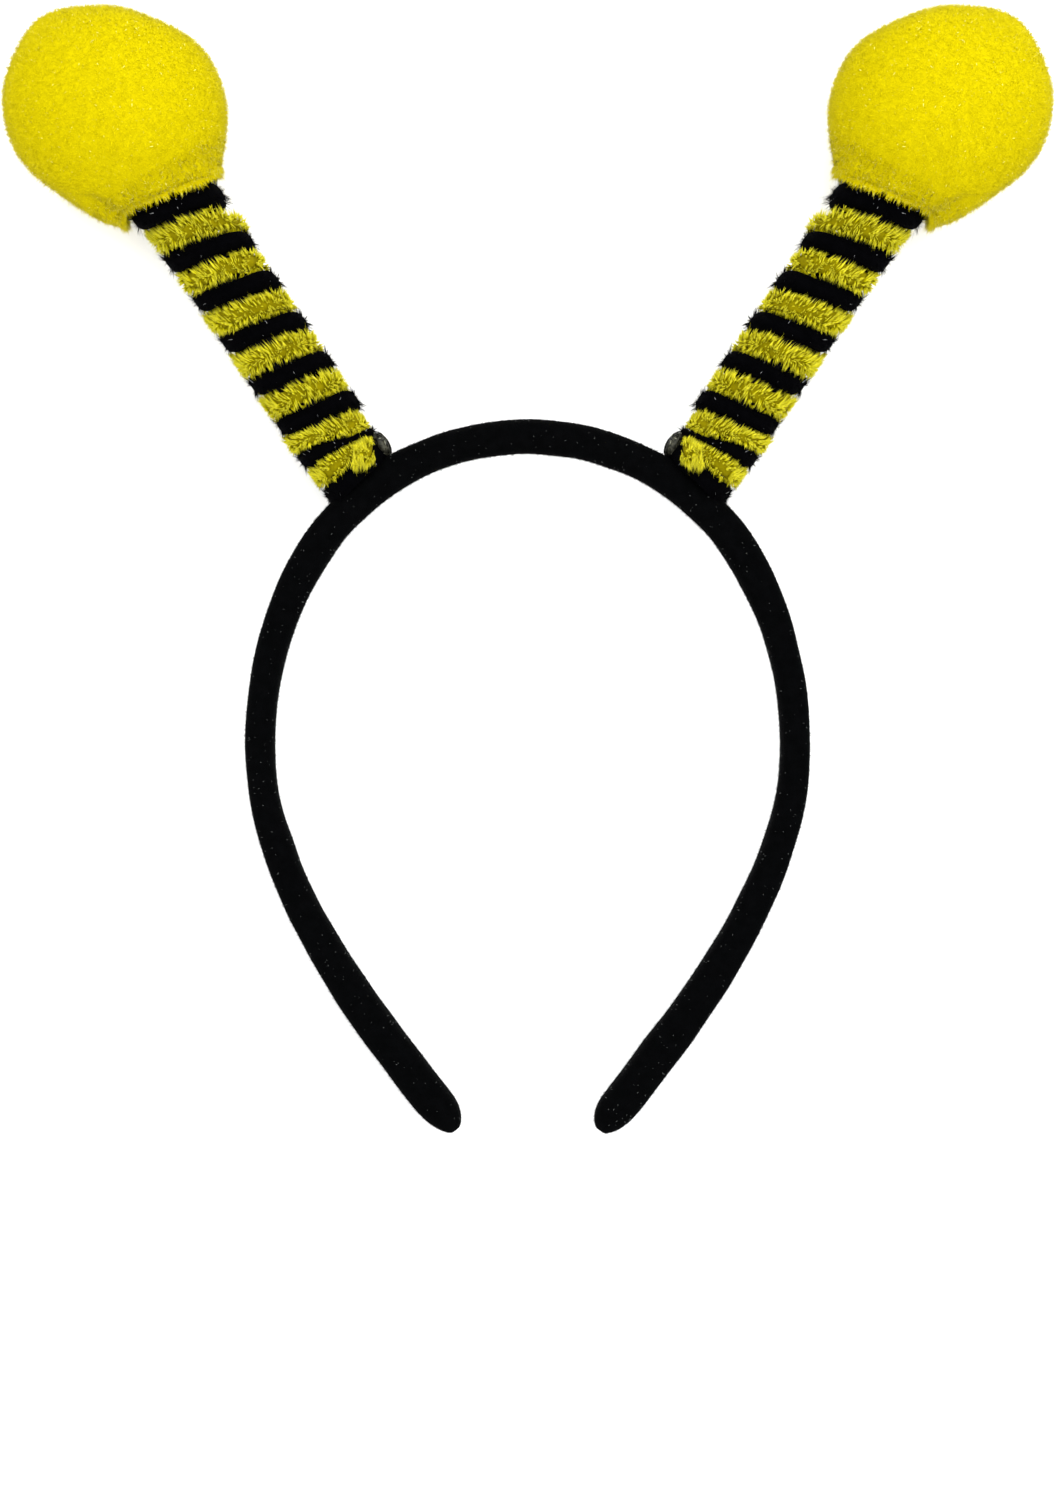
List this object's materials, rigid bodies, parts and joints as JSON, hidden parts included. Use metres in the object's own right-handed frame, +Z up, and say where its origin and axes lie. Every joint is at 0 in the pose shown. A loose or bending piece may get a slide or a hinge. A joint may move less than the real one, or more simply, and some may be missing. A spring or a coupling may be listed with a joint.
{
  "type": "bee antenna headband",
  "caption": "Cloth-covered open hair band with wound black and yellow chenille antennae ending in yellow plush balls, lying on its back.",
  "frame": {"origin": "centre of the bounding box on the floor that the headband lies on", "axes": "+X to the headband's right seen from above, +Y from the tips of the hoop to the balls, +Z up from the floor"},
  "size_m": [0.2472, 0.2668, 0.05],
  "materials": {
    "black_pile_cloth": "short brushed pile, matt",
    "black_chenille": "cut pile on a twisted wire, matt",
    "yellow_chenille": "cut pile on a twisted wire, in tufts",
    "yellow_plush": "short velvety plush",
    "set_glue": "cloudy set glue with stray hairs",
    "dark_plastic": "plain, hidden inside the windings"
  },
  "bodies": {
    "root": {"band": "black_pile_cloth", "core_left": "dark_plastic", "core_right": "dark_plastic", "black_stem_left": "black_chenille", "black_stem_right": "black_chenille", "yellow_stem_left": "yellow_chenille", "yellow_stem_right": "yellow_chenille", "pompom_left": "yellow_plush", "pompom_right": "yellow_plush", "glue_left": "set_glue", "glue_right": "set_glue"}
  },
  "joints": []
}
